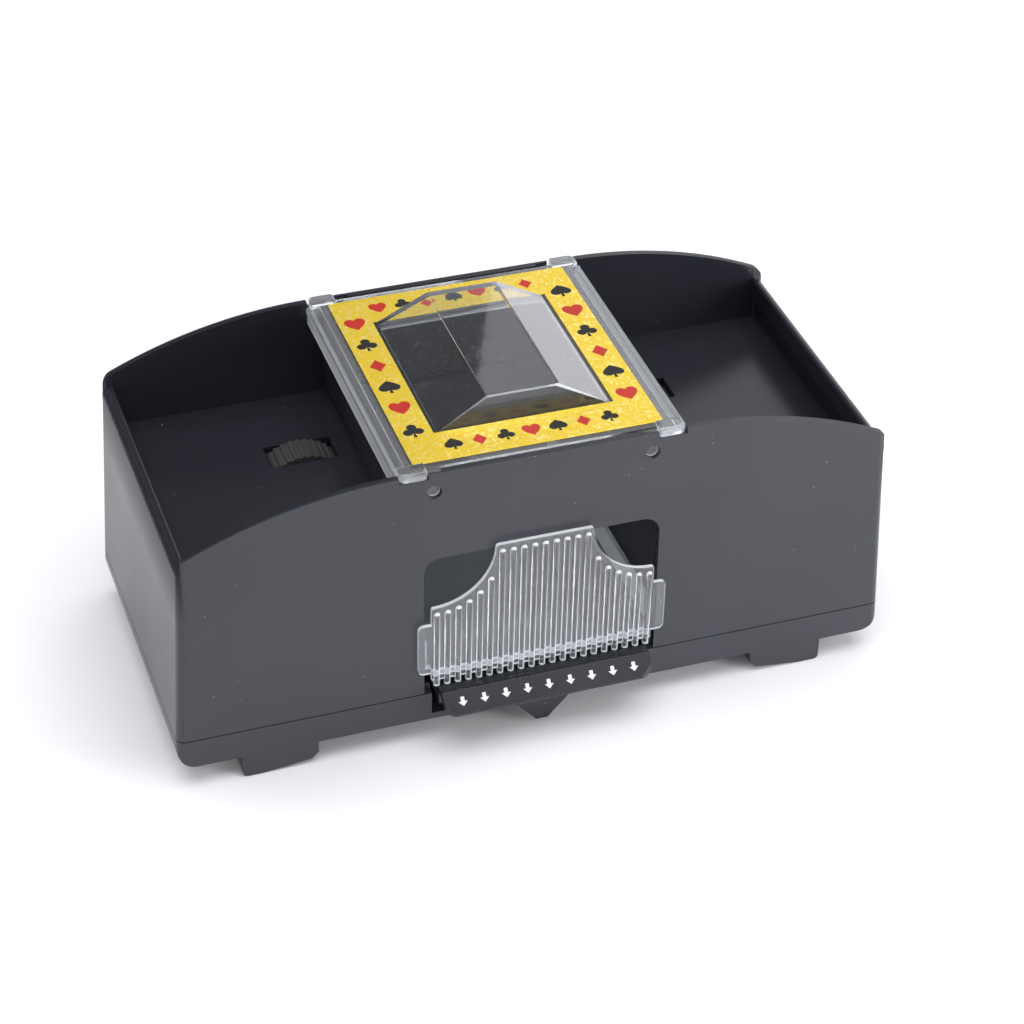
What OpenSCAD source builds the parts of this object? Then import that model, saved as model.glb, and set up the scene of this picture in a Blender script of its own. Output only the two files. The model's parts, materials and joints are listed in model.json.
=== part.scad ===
// Battery-driven card shuffler: two card wells, a pair of motorised feed units that push
// cards from the wells into a centre chamber, a clear tray that collects them, a clear
// domed lid over the chamber and a press lever that runs the motors.
// X runs to the right, Y to the back, Z up; the origin is under the middle of the whole
// object, lever included, on the surface that the feet stand on.

/* [Case] */
// Width of the case at the parting line
case_w = 211.4; // [208:0.2:220]
// Width of the case at the top corners of the panels
top_w = 205; // [202:0.5:207]
// Depth of the case at the parting line
case_d = 95.4; // [95:0.1:100]
// Depth of the case at the crown of the panels
top_d = 93.8; // [93.6:0.1:94.6]
// Height of the front and back panels at the middle
crown_z = 92.2; // [91:0.1:94]
// Height of the joint between the housing and the bottom cover
parting_z = 16.9; // [16.5:0.1:17.5]
// Height of the underside of the bottom cover above the table
cover_z = 7.4; // [7:0.1:7.6]
// Height of the rolled top edge of the end walls
end_wall_z = 75; // [72:0.5:77]
// Wall thickness of the case
wall = 2; // [1.6:0.1:2.2]
// Radius of the upright edges of the case
edge_r = 2.5; // [2.2:0.1:3]

/* [Front panel] */
// Half width of the straight crown of the panels
crown_half = 40; // [38:0.5:42]
// Radius of the arc that falls from the crown to each end
crown_r = 140; // [130:1:160]
// Radius of the panel corners at the ends
panel_corner_r = 4.5; // [3.5:0.1:5]
// Width of the tray window
window_w = 69; // [68:0.5:69.5]
// Height of the top of the tray window
window_z = 63.7; // [60:0.1:66]
// Diameter of the four lid snap holes
snap_d = 4.2; // [4:0.1:4.6]

/* [Wells] */
// Height of the floor of the card wells
floor_z = 61; // [60.5:0.1:61.5]
// Gap between the well floor and the feed gate, which lets one card through
feed_gap = 1.4; // [1:0.1:2]
// Inner width of the centre chamber
chamber_w = 70.4; // [70.2:0.1:71]

/* [Lid] */
// Width of the lid over its side skirts
lid_w = 84; // [83:0.2:84.4]
// Height of the lid's label face
lid_z = 92.3; // [92:0.1:93]
// Height of the top of the dome
dome_z = 100.6; // [98:0.1:103]
// Width of the label
label_w = 72; // [70:0.5:73]
// Depth of the label
label_d = 84; // [80:0.5:84]

/* [Tray] */
// Width of the ribbed front plate
tray_w = 65.6; // [65:0.1:66]
// Number of upright ribs
rib_count = 21; // [15:2:21]
// Height of the middle arch of the front plate
arch_z = 65.8; // [62:0.1:67]
// Height of the shoulders of the front plate
shoulder_z = 47.9; // [44:0.1:50]

/* [Lever] */
// Width of the press lever
lever_w = 62.2; // [60:0.1:63]
// Height of the lever's pivot pin
lever_pivot_z = 13.6; // [13.4:0.1:13.8]

/* [Feed units] */
// Diameter of the rubber tyres of the feed wheels
wheel_d = 27; // [26.6:0.1:27.2]
// Height by which the tyres stand out of the well floor
wheel_proud = 1.5; // [1:0.1:1.8]
// Gear module
gear_module = 0.5; // [0.5:0.1:0.5]
// Teeth of the gear on the feed shaft
shaft_teeth = 36; // [36:1:36]
// Teeth of the large ring of the idler
idler_teeth = 42; // [42:1:42]
// Teeth of the small ring of the idler and of the motor pinion
pinion_teeth = 12; // [12:1:12]
// Diameter of a power cell
cell_d = 14.2; // [13.8:0.1:14.5]
// Length of a power cell over its end cap
cell_len = 50.2; // [49.2:0.1:50.5]

/* [Hidden] */
side_units = ["gear_plate", "motor_can", "motor_cap", "motor_shaft", "motor_pinion",
    "idler_gear", "idler_pin", "feed_shaft", "feed_gear", "wheel_front", "wheel_back",
    "tyre_front", "tyre_back", "shaft_bushes", "shaft_clip", "unit_screws",
    "cell_inner", "cell_outer", "contact_springs", "contact_plates",
    "feed_gate", "battery_door"];
$fn = 48;
eps = 0.01;

case_black = [0.13, 0.13, 0.14];
inner_black = [0.08, 0.08, 0.085];
clear = [0.86, 0.89, 0.92, 0.35];
steel = [0.72, 0.73, 0.75];
brass = [0.82, 0.66, 0.32];
nylon = [0.93, 0.92, 0.87];
rubber = [0.16, 0.16, 0.16];

// Case
shoulder_ref_z = 78.8;
case_top = crown_z + 3;
corner_x = half_w(shoulder_ref_z - panel_corner_r) - panel_corner_r + 0.1;
arc_z = crown_z - crown_r;
corner_z = arc_z + sqrt(pow(crown_r - panel_corner_r, 2) - pow(corner_x - crown_half, 2));
corner_turn = atan2(corner_z - arc_z, corner_x - crown_half);
bead_r = 3;
bead_depth = 9;
bead_in = 3.3;
window_r = 5;
ear_x = 37.1;
ear_w = 7.6;
notch_depth = 1.8;
snap_x = 31.4;
snap_z = 86;
inner_y = top_d / 2 - wall + 0.1;
floor_t = 2;
floor_under = floor_z - floor_t;
chamber_half = chamber_w / 2;
chamber_t = 1.5;
case_post = [94, 37];
post_d = 8;
post_z = 11.5;
plate_screw_x = [71, 84];
plate_screw_z = 54;
pilot_d = 2.4;
pilot_depth = 12;

// Middle of the case behind the middle of the whole object
case_shift = 5.1;

// Bottom cover
cover_end_r = 5.5;
seam = 0.3;
tongue = [0.15, 1.1];
tongue_h = 1.6;
cover_floor = cover_z + wall;
foot_x = [65.6, 87.6];
foot_flat = [81.5, 86];
foot_depth = 9;
foot_lift = 1.7;
lever_cut_w = 64.6;
screw_head_d = 5.4;
screw_clear_d = 3;
screw_sink_d = 6.2;
screw_sink_z = 9.4;
frame_post = [28, 16];
frame_post_mid_y = 14;
bay_x = [59.4, 91];
bay_half_d = 27.6;
bay_t = 1.5;
bay_top = 26.2;
lug_x = 30.4;
lug_t = 2.2;

// Battery doors
door_x = [56.6, 94];
door_half_d = 29;
door_t = 1.6;
door_gap = 0.25;
rail_x = [55, 95.4];
rail_t = 1.5;
rail_lip = 2.2;

// Feed gates
gate_t = 1.3;
gate_top = 88.6;
groove_rib = 1.1;
groove_depth = 1.6;

// Chamber frame
frame_floor_z = 19.6;
frame_floor_t = 1.5;
frame_front = -43.2;
frame_back = 43.5;
rail_top = 23.3;
rail_w = 3.7;

// Lid
lid_t = 1.4;
skirt_t = 1.5;
skirt_z = 86.6;
lid_half_d = 44.5;
lid_step = [38.3, 40.5];
dome_foot = [52, 58];
dome_top = [21, 55];
dome_t = 1.4;
lug_d = 3.8;
label_t = 0.2;

// Tray
tray_y = -47.95;
plate_t = 1.2;
rib_r = 0.95;
rib_foot = 20.8;
tray_floor_z = 23.6;
tray_floor_t = 1.6;
tray_back = 42.6;
tray_wall_z = 33;
tray_half = 34.2;
arch_half = 14.2;
arch_curve = arch_z - shoulder_z;
tab_x = 36.6;
tab_z = [25, 42];

// Lever
pivot_y = -20;
pin_d = 2;
fit = 0.1;
contact_z = 11.95;
wedge_tip_z = 1.5;
wedge_half = [1.65, 9.5];

// Feed units, measured on the right-hand side
shaft_x = 52;
shaft_z = floor_z + wheel_proud - wheel_d / 2;
idler_turn = -40;
motor_turn = -10;
shaft_mesh = (shaft_teeth + pinion_teeth) * gear_module / 2;
motor_mesh = (idler_teeth + pinion_teeth) * gear_module / 2;
idler_x = shaft_x + shaft_mesh * cos(idler_turn);
idler_z = shaft_z + shaft_mesh * sin(idler_turn);
motor_x = idler_x + motor_mesh * cos(motor_turn);
motor_z = idler_z + motor_mesh * sin(motor_turn);
pressure_angle = 25;
addendum = 0.9 * gear_module;
dedendum = 1.15 * gear_module;
tooth_slack = 0.08;
shaft_d = 3;
bush_d = 5;
wheel_y = 16;
wheel_w = 9;
hub_d = 21;
plate_y = [24, 26];
small_gear_y = [27.2, 30.8];
large_gear_y = [31.6, 34];
motor_d = 20;
motor_flat = 15.4;
motor_len = 23;
motor_screw_r = 8;
motor_screw_turn = 20;
wire_d = 1.2;
wire_bend = 2.5;
wire_sides = 12;
motor_shaft_d = 2;
idler_pin_d = 2;
hanger_y = [-26.5, -24];
slot_size = [19.8, 10.4];

// Cells and contacts
cell_x = [67.4, 83];
cell_z = cover_z + 10.2;
nub_d = 5.5;
nub_len = 1.2;
contact_t = 0.4;
cell_shift = bay_half_d - contact_t - cell_len / 2 - 0.05;
tab_top = bay_top + 2.4;

// ---------------------------------------------------------------- helpers

// Half width and half depth of the tapered case at a height
function half_w(z) = case_w / 2
    - (z - parting_z) * (case_w - top_w) / 2 / (shoulder_ref_z - parting_z);
function half_d(z) = case_d / 2
    - (z - parting_z) * (case_d - top_d) / 2 / (crown_z - parting_z);

// Points along an arc, and the same without its first point
function arc(cx, cy, r, a0, a1, n) =
    [for (i = [0:n]) let (a = a0 + (a1 - a0) * i / n) [cx + r * cos(a), cy + r * sin(a)]];
function arc_on(cx, cy, r, a0, a1, n) =
    [for (i = [1:n]) let (a = a0 + (a1 - a0) * i / n) [cx + r * cos(a), cy + r * sin(a)]];
function mirrored(pts) = [for (i = [len(pts) - 1:-1:0]) [-pts[i][0], pts[i][1]]];

// A closed outline from its right half
module symmetric(right) polygon(concat(right, mirrored(right)));

// Extrude an XZ outline from y0 to y1
module from_y(y0, y1) translate([0, y1, 0]) rotate([90, 0, 0]) linear_extrude(y1 - y0) children();

// Extrude a YZ outline from x0 to x1
module from_x(x0, x1) translate([x0, 0, 0]) rotate([90, 0, 90]) linear_extrude(x1 - x0) children();

// A box given by its lowest and highest corners
module block(low, high) translate(low) cube(high - low);

// A rod along Y
module rod_y(x, z, d, y0, y1) translate([x, y1, z]) rotate([90, 0, 0]) cylinder(d = d, h = y1 - y0);

// The same on the left (-1) or right (+1)
module on_side(side) {
    if (side > 0) children();
    else mirror([1, 0, 0]) children();
}
module both_sides() for (s = [-1, 1]) on_side(s) children();
module front_and_back() {
    children();
    mirror([0, 1, 0]) children();
}

// A tapered block with rounded upright edges, inset from the outside of the case
module case_block(inset, z0, z1, r) hull()
    for (z = [z0, z1 - eps], sx = [-1, 1], sy = [-1, 1])
        translate([sx * (half_w(z) - inset - r), sy * (half_d(z) - inset - r), z])
            cylinder(r = r, h = eps, $fn = 32);

// Outline of the panels: straight crown, falling arcs, rounded ends
module panel_outline() symmetric(concat(
    [[case_w / 2 + 2, parting_z - 1]],
    arc(corner_x, corner_z, panel_corner_r, 0, corner_turn, 8),
    arc_on(crown_half, arc_z, crown_r, corner_turn, 90, 20)));

// Involute gear outline with thinned teeth
function inv(a) = tan(a) * 180 / PI - a;
function tooth_half(teeth, base_r, r) = 90 / teeth + inv(pressure_angle) - inv(acos(base_r / r))
    - tooth_slack / 2 / (teeth * gear_module / 2) * 180 / PI;
module gear_outline(teeth, bore) {
    pitch_r = teeth * gear_module / 2;
    base_r = pitch_r * cos(pressure_angle);
    root_r = pitch_r - dedendum;
    tip_r = pitch_r + addendum;
    start_r = max(base_r, root_r) + eps;
    steps = 4;
    radii = [for (i = [0:steps]) start_r + (tip_r - start_r) * i / steps];
    difference() {
        polygon([for (t = [0:teeth - 1]) each concat(
            [let (a = t * 360 / teeth - tooth_half(teeth, base_r, start_r)) root_r * [cos(a), sin(a)]],
            [for (i = [0:steps])
                let (a = t * 360 / teeth - tooth_half(teeth, base_r, radii[i])) radii[i] * [cos(a), sin(a)]],
            [for (i = [steps:-1:0])
                let (a = t * 360 / teeth + tooth_half(teeth, base_r, radii[i])) radii[i] * [cos(a), sin(a)]],
            [let (a = t * 360 / teeth + tooth_half(teeth, base_r, start_r)) root_r * [cos(a), sin(a)]])]);
        circle(d = bore);
    }
}
// A gear along Y at (x, z), turned so that a tooth points at angle turn
module gear_at(x, z, y, teeth, bore, turn) translate([x, y[1], z]) rotate([90, 0, 0])
    rotate([0, 0, turn]) linear_extrude(y[1] - y[0]) gear_outline(teeth, bore);

// ---------------------------------------------------------------- case

// Rolled bead along the top of an end wall
module end_bead() {
    bead_z = end_wall_z - bead_r;
    outer_x = half_w(bead_z);
    inner_x = outer_x - bead_in;
    soft = 1;
    from_y(-inner_y - 0.5, inner_y + 0.5) polygon(concat(
        arc(outer_x - bead_r, bead_z, bead_r, 0, 80, 8),
        arc(inner_x + soft, end_wall_z - soft, soft, 90, 180, 5),
        [[inner_x, end_wall_z - bead_depth + 3], [outer_x - wall + 0.3, end_wall_z - bead_depth],
         [half_w(end_wall_z - bead_depth) - 0.4, end_wall_z - bead_depth]]));
}

// Window that the tray slides through, open down to the parting line
module window_outline() symmetric(concat(
    [[window_w / 2, parting_z - 1]],
    arc(window_w / 2 - window_r, window_z - window_r, window_r, 0, 90, 8)));

// Ribs on a panel that hold one end of a feed gate
module gate_groove() {
    gate_x = [chamber_half, chamber_half + gate_t + 0.2];
    front = [-inner_y - 0.6, -inner_y + groove_depth];
    block([gate_x[0] - groove_rib, front[0], floor_z + 0.5], [gate_x[0] - 0.1, front[1], gate_top - 1]);
    block([gate_x[1], front[0], floor_z - 0.5], [gate_x[1] + groove_rib, front[1] - 0.9, gate_top - 1]);
    block([gate_x[0] - 0.1, front[0], floor_z - 0.5], [gate_x[1], -inner_y + 0.55, floor_z + feed_gap]);
}

// One well floor with its wheel slots
module well_floor() difference() {
    block([chamber_half - 0.1, -inner_y - 0.8, floor_under],
          [half_w(floor_z) - 0.5, inner_y + 0.8, floor_z]);
    for (y = [-wheel_y, wheel_y])
        block([shaft_x - slot_size[0] / 2, y - slot_size[1] / 2, floor_under - 1],
              [shaft_x + slot_size[0] / 2, y + slot_size[1] / 2, floor_z + 1]);
}

// Posts under the well floor: corner screw posts, gear-plate posts and the front shaft hanger
module floor_posts() {
    for (y = [-1, 1]) translate([case_post[0], y * case_post[1], post_z])
        cylinder(d = post_d, h = floor_under - post_z + 0.5);
    for (x = plate_screw_x)
        block([x - 3.5, plate_y[0] - 6, plate_screw_z - 4], [x + 3.5, plate_y[0], floor_under + 0.5]);
    block([shaft_x - 7, hanger_y[0], shaft_z - 6], [shaft_x + 7, hanger_y[1], floor_under + 0.5]);
}

module upper_housing() color(case_black) difference() {
    union() {
        difference() {
            intersection() {
                case_block(0, parting_z, case_top, edge_r);
                from_y(-case_d, case_d) panel_outline();
            }
            case_block(wall, parting_z - 2, case_top + 2, edge_r - wall + 0.6);
            both_sides() block([half_w(floor_z) - 12, -inner_y, end_wall_z - bead_r],
                               [case_w, inner_y, case_top]);
            from_y(-case_d, 0) window_outline();
        }
        both_sides() {
            end_bead();
            well_floor();
            floor_posts();
            front_and_back() gate_groove();
        }
    }
    both_sides() {
        // Notches and snap holes for the lid, and the grooves its lugs rise in
        front_and_back() {
            block([ear_x - ear_w / 2 - 0.4, -case_d, crown_z - notch_depth],
                  [ear_x + ear_w / 2 + 0.4, -inner_y + 1, case_top]);
            rod_y(snap_x, snap_z, snap_d, -case_d, -inner_y + 1);
            block([snap_x - snap_d / 2 - 0.2, -inner_y - 1.1, snap_z],
                  [snap_x + snap_d / 2 + 0.2, -inner_y + 1, case_top]);
        }
        // Pilot holes
        for (y = [-1, 1]) translate([case_post[0], y * case_post[1], post_z - 1])
            cylinder(d = pilot_d, h = pilot_depth + 1);
        for (x = plate_screw_x) rod_y(x, plate_screw_z, 1.8, plate_y[0] - 5, plate_y[0] + 1);
        rod_y(shaft_x, shaft_z, bush_d, hanger_y[0] - 1, hanger_y[1] + 1);
    }
}

// Foot blocks under one end of the cover, lowest at the outer side
module foot() {
    soft = 2;
    from_y(-half_d(parting_z), -half_d(parting_z) + foot_depth) polygon(concat(
        [[foot_x[0], cover_z + 1], [foot_x[0], foot_lift + soft]],
        [[foot_x[0] + soft, foot_lift - 0.1], [foot_flat[0], 0], [foot_flat[1] - 0.2, 0]],
        arc(foot_x[1] - 1.4, 1.4, 1.4, -80, 0, 5),
        [[foot_x[1], cover_z + 1]]));
}

module cover_outline() symmetric(concat(
    [[case_w / 2 - cover_end_r, cover_z]],
    arc_on(case_w / 2 - cover_end_r, cover_z + cover_end_r, cover_end_r, -90, 0, 8),
    [[case_w / 2 + 1, parting_z + 2]]));

// Cell bay: four walls and a roof over an opening in the cover floor
module bay_walls() {
    block([bay_x[0] - bay_t, -bay_half_d - bay_t, cover_z + 0.5],
          [bay_x[1] + bay_t, bay_half_d + bay_t, bay_top]);
}
module bay_space() {
    block([bay_x[0], -bay_half_d, cover_z - 1], [bay_x[1], bay_half_d, bay_top - bay_t]);
    // Slots for the contact tabs
    for (x = cell_x)
        block([x - 1.2, -bay_half_d, bay_top - bay_t - 1], [x + 1.2, -bay_half_d + 0.6, bay_top + 1]);
}

// L-shaped rail that holds one long edge of a battery door
module door_rail() {
    y = door_half_d + door_gap;
    low = cover_z - door_t - 2 * door_gap - rail_t;
    block([rail_x[0], -y - rail_t, low], [rail_x[1], -y, cover_z + 0.2]);
    block([rail_x[0], -y - rail_t, low], [rail_x[1], -y + rail_lip, low + rail_t]);
}

module screw_boss() translate([0, 0, cover_z + 0.5]) cylinder(d = post_d + 1, h = post_z - cover_z - 0.5);
module screw_hole() translate([0, 0, cover_z - 1]) {
    cylinder(d = screw_sink_d, h = screw_sink_z - cover_z + 1);
    cylinder(d = screw_clear_d, h = post_z);
}
module at_case_posts() for (sx = [-1, 1], sy = [-1, 1])
    translate([sx * case_post[0], sy * case_post[1], 0]) children();
module at_frame_posts() for (sx = [-1, 1], sy = [-1, 1])
    translate([sx * frame_post[0], frame_post_mid_y + sy * frame_post[1], 0]) children();

module bottom_cover() color(case_black) difference() {
    cover_wall = wall + tongue[1];
    union() {
        difference() {
            union() {
                intersection() {
                    case_block(0, cover_z, parting_z - seam, edge_r);
                    from_y(-case_d, case_d) cover_outline();
                }
                // Tongue that rises inside the housing walls
                case_block(wall + tongue[0], parting_z - 1, parting_z + tongue_h, 0.7);
            }
            difference() {
                case_block(cover_wall, cover_floor, parting_z + tongue_h + 1, 0.5);
                both_sides()
                    block([case_w / 2 - 6, -case_d, cover_floor - 1], [case_w, case_d, cover_floor + 1.5]);
            }
            // Cut-out for the press lever
            block([-lever_cut_w / 2, -case_d, cover_floor],
                  [lever_cut_w / 2, -half_d(cover_z) + cover_wall + 0.3, parting_z + tongue_h + 1]);
        }
        both_sides() {
            bay_walls();
            front_and_back() {
                foot();
                door_rail();
            }
            // Lug for the lever's pivot pin
            block([lug_x, pivot_y - 3.5, cover_floor - 0.5],
                  [lug_x + lug_t, pivot_y + 3.5, lever_pivot_z + 3]);
        }
        at_case_posts() screw_boss();
        at_frame_posts() screw_boss();
    }
    both_sides() bay_space();
    at_case_posts() screw_hole();
    at_frame_posts() screw_hole();
    translate([-40, pivot_y, lever_pivot_z]) rotate([0, 90, 0]) cylinder(d = pin_d, h = 80);
}

// Trough under the lid that the cards fall into, with rails for the tray
module chamber_frame() color(inner_black) difference() {
    wall_x = chamber_half + chamber_t;
    union() {
        difference() {
            block([-wall_x, frame_front, frame_floor_z], [wall_x, frame_back + chamber_t, floor_under]);
            block([-chamber_half, frame_front - 1, frame_floor_z + frame_floor_t],
                  [chamber_half, frame_back, floor_under + 1]);
        }
        both_sides() block([chamber_half - rail_w, frame_front, frame_floor_z + 1],
                           [chamber_half + 0.5, frame_back - 0.5, rail_top]);
        at_frame_posts() translate([0, 0, post_z]) cylinder(d = post_d, h = frame_floor_z - post_z + 0.5);
    }
    at_frame_posts() translate([0, 0, post_z - 1]) cylinder(d = pilot_d, h = 8.5);
}

// Plate between a well and the chamber; the lowest card slips under it
module feed_gate(side) color(inner_black) on_side(side) difference() {
    y = inner_y - 0.12;
    block([chamber_half + 0.1, -y, floor_z + feed_gap], [chamber_half + 0.1 + gate_t, y, gate_top]);
    block([chamber_half - 1, -9, gate_top - 5], [chamber_half + gate_t + 1, 9, gate_top + 1]);
}

module screw(z) {
    translate([0, 0, z]) {
        difference() {
            cylinder(d = screw_head_d, h = 1.8);
            for (a = [0, 90]) rotate([0, 0, a]) translate([-1.5, -0.3, -1]) cube([3, 0.6, 1.9]);
        }
        translate([0, 0, 1.7]) cylinder(d = pilot_d, h = 9);
    }
}
module case_screws() color(steel) at_case_posts() screw(screw_sink_z - 1.8);
module frame_screws() color(steel) at_frame_posts() screw(screw_sink_z - 1.8);

// ---------------------------------------------------------------- lid

module rounded_plate(half_x, half_y, r, z0, z1) translate([0, 0, z0]) linear_extrude(z1 - z0)
    symmetric(concat(arc(half_x - r, -half_y + r, r, -90, 0, 5), arc(half_x - r, half_y - r, r, 0, 90, 5)));

// Hipped prism with four sloping sides
module hipped(foot_size, top_size, z0, z1) intersection() {
    from_y(-foot_size[1], foot_size[1]) symmetric([[foot_size[0] / 2, z0], [top_size[0] / 2, z1]]);
    from_x(-foot_size[0], foot_size[0]) symmetric([[foot_size[1] / 2, z0], [top_size[1] / 2, z1]]);
}

module lid() color(clear) difference() {
    flange_z = lid_z - lid_t;
    ear_root_y = -label_d / 2 - 0.2;
    well = dome_foot / 2 - [dome_t, dome_t];
    union() {
        // Stepped flanges left and right, and the label plate
        rounded_plate(lid_w / 2, lid_half_d, 1.5, flange_z - 0.9, flange_z + 0.1);
        rounded_plate(lid_step[1], lid_half_d, 1.2, flange_z - 0.8, flange_z + 0.6);
        rounded_plate(lid_step[0], lid_half_d - 0.6, 1.2, flange_z - 0.8, lid_z);
        both_sides() {
            // Bead along the side edge
            block([lid_w / 2 - skirt_t, -lid_half_d + 1.5, skirt_z],
                  [lid_w / 2 - 0.1, lid_half_d - 1.5, flange_z]);
            front_and_back() {
                // Corner ear that sits in the panel notch
                translate([0, 0, crown_z - notch_depth + 0.1]) linear_extrude(2.4) polygon(concat(
                    [[ear_x - ear_w / 2, ear_root_y], [ear_x - ear_w / 2, -top_d / 2 + 1.2]],
                    arc(ear_x - ear_w / 2 + 1, -top_d / 2 + 1.2, 1, 180, 270, 4),
                    arc(ear_x + ear_w / 2 - 2, -top_d / 2 + 2.2, 2, -90, 0, 5),
                    [[ear_x + ear_w / 2, ear_root_y]]));
                // Snap lug
                rod_y(snap_x, snap_z, lug_d, -inner_y - 0.9, -lid_half_d + 1);
            }
        }
        // Front and back skirts
        front_and_back() block([-chamber_half + 1.8, -lid_half_d, snap_z - 2.6],
                               [chamber_half - 1.8, -lid_half_d + skirt_t, flange_z]);
        hipped(dome_foot, dome_top, lid_z - 0.5, dome_z);
    }
    hipped(2 * well, dome_top - 2 * [0.6, dome_t], lid_z - 0.5, dome_z - dome_t);
    block([-well[0], -well[1], skirt_z], [well[0], well[1], lid_z - 0.5 + eps]);
}

module lid_label() color([0.95, 0.79, 0.13]) difference() {
    rounded_plate(label_w / 2, label_d / 2, 1.2, lid_z, lid_z + label_t);
    rounded_plate(dome_foot[0] / 2 + 0.1, dome_foot[1] / 2 + 0.1, 0.3, lid_z - 1, lid_z + 1);
}

// ---------------------------------------------------------------- tray

// Height of the front plate's outline at a distance from the middle
function tray_top(x) = abs(x) <= arch_half ? arch_z
    : abs(x) >= arch_half + arch_curve ? shoulder_z
    : arch_z - sqrt(pow(arch_curve, 2) - pow(arch_half + arch_curve - abs(x), 2));

module tray_plate_outline() symmetric(concat(
    [[tray_w / 2, tray_floor_z - 1.2]],
    arc(tray_w / 2 - 0.6, shoulder_z - 0.6, 0.6, 0, 80, 3),
    arc(arch_half + arch_curve, arch_z, arch_curve, -90, -176, 12),
    arc(arch_half - 0.8, arch_z - 0.8, 0.8, 10, 90, 3)));

module tray_rib(x) {
    rib_top = min(tray_top(x - rib_r), tray_top(x + rib_r)) - 1.4 - rib_r;
    translate([x, tray_y - plate_t + 0.15, rib_foot]) cylinder(r = rib_r, h = rib_top - rib_foot, $fn = 24);
    translate([x, tray_y - plate_t + 0.15, rib_top]) sphere(r = rib_r * 0.98, $fn = 24);
}

module card_tray() color(clear) {
    rib_pitch = (tray_w - 2 * rib_r - 1) / (rib_count - 1);
    front_y = tray_y - plate_t;
    union() {
        from_y(front_y, tray_y) tray_plate_outline();
        for (i = [0:rib_count - 1]) tray_rib((i - (rib_count - 1) / 2) * rib_pitch);
        // Stops that meet the front panel
        both_sides() from_y(front_y, tray_y) polygon(concat(
            [[tray_w / 2 - 1, tab_z[0]]], arc(tab_x - 1.5, tab_z[0] + 1.5, 1.5, -90, 0, 4),
            arc(tab_x - 1.5, tab_z[1] - 1.5, 1.5, 0, 90, 4), [[tray_w / 2 - 1, tab_z[1]]]));
        // Floor with low side and back walls
        block([-tray_w / 2 + 0.5, front_y + 0.2, tray_floor_z],
              [tray_w / 2 - 0.5, frame_front, tray_floor_z + tray_floor_t]);
        block([-tray_half, frame_front - 1.5, tray_floor_z],
              [tray_half, tray_back, tray_floor_z + tray_floor_t]);
        both_sides()
            block([tray_half - 1.2, frame_front - 1.5, tray_floor_z + 0.5],
                  [tray_half, tray_back, tray_wall_z]);
        block([-tray_half + 0.5, tray_back - 1.2, tray_floor_z + 0.5],
              [tray_half - 0.5, tray_back, tray_wall_z]);
    }
}

// ---------------------------------------------------------------- press lever and switch

module press_lever() color(case_black) difference() {
    half = lever_w / 2;
    arm_z = [14.6, 16.6];
    union() {
        // Sloping press face with chamfered lower corners
        intersection() {
            from_x(-half, half) polygon([
                [-52.2, 20.2], [-53, 20.6], [-58, 15.9], [-58, 15.2], [-57.2, 14.6], [-52.6, 18.4],
                [-51.2, 18.6], [-49.2, 18.2], [-49.2, 20.2]]);
            translate([0, 0, -1]) linear_extrude(40) symmetric(concat(
                [[half - 6.5, -60], [half - 2, -57]], [[half - 0.2, -56]], [[half, -54], [half, -40]]));
        }
        // Web down to the arm plate, and the stop wedge below it
        from_y(-50.6, -48.9) polygon([
            [-wedge_half[0], wedge_tip_z], [wedge_half[0], wedge_tip_z], [wedge_half[1], 10.2],
            [half - 4, 13.6], [half, 15], [half, 19.8], [-half, 19.8], [-half, 15], [-half + 4, 13.6],
            [-wedge_half[1], 10.2]]);
        block([-half, -50.2, arm_z[0]], [half, -38, arm_z[1]]);
        // Two arms back to the pivot
        both_sides() {
            block([20, -39, arm_z[0] - 1.4], [27, pivot_y, arm_z[1]]);
            translate([20, pivot_y, lever_pivot_z]) rotate([0, 90, 0]) cylinder(d = 6, h = 7);
        }
        // Nose that presses the switch leaf
        block([-3, -39, arm_z[0]], [3, -31, arm_z[1]]);
        block([-2, -34, 13], [2, -31.6, arm_z[0] + 0.5]);
    }
    translate([-40, pivot_y, lever_pivot_z]) rotate([0, 90, 0]) cylinder(d = pin_d + fit, h = 80);
}

module lever_pin() color(steel) translate([-lug_x - lug_t, pivot_y, lever_pivot_z]) rotate([0, 90, 0])
    cylinder(d = pin_d, h = 2 * (lug_x + lug_t));

// Springy strip that carries the lever and closes the motor circuit
module switch_leaf() color(brass) from_x(-3.5, 3.5) polygon([
    [-8, cover_floor + 1.5], [-14, cover_floor + 1.5], [-33, 12.3], [-36, 12.3],
    [-36, 12.6], [-32.9, 12.6], [-14, cover_floor + 1.8], [-8, cover_floor + 1.8]]);
module switch_plate() color(brass) {
    // Strip on the cover, folded up in front to the contact that the leaf comes down on
    block([-3.5, -36, cover_floor], [3.5, -24, cover_floor + 0.4]);
    block([-1.5, -36, cover_floor], [1.5, -35.5, contact_z]);
    block([-5, -12, cover_floor], [5, -6, cover_floor + 1.5]);
}

// ---------------------------------------------------------------- feed units

// Rods at the two screws that hold the motor to the gear plate
module motor_screws(d, y0, y1) for (s = [-motor_screw_r, motor_screw_r])
    rod_y(motor_x + s * cos(motor_screw_turn), motor_z + s * sin(motor_screw_turn), d, y0, y1);

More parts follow.
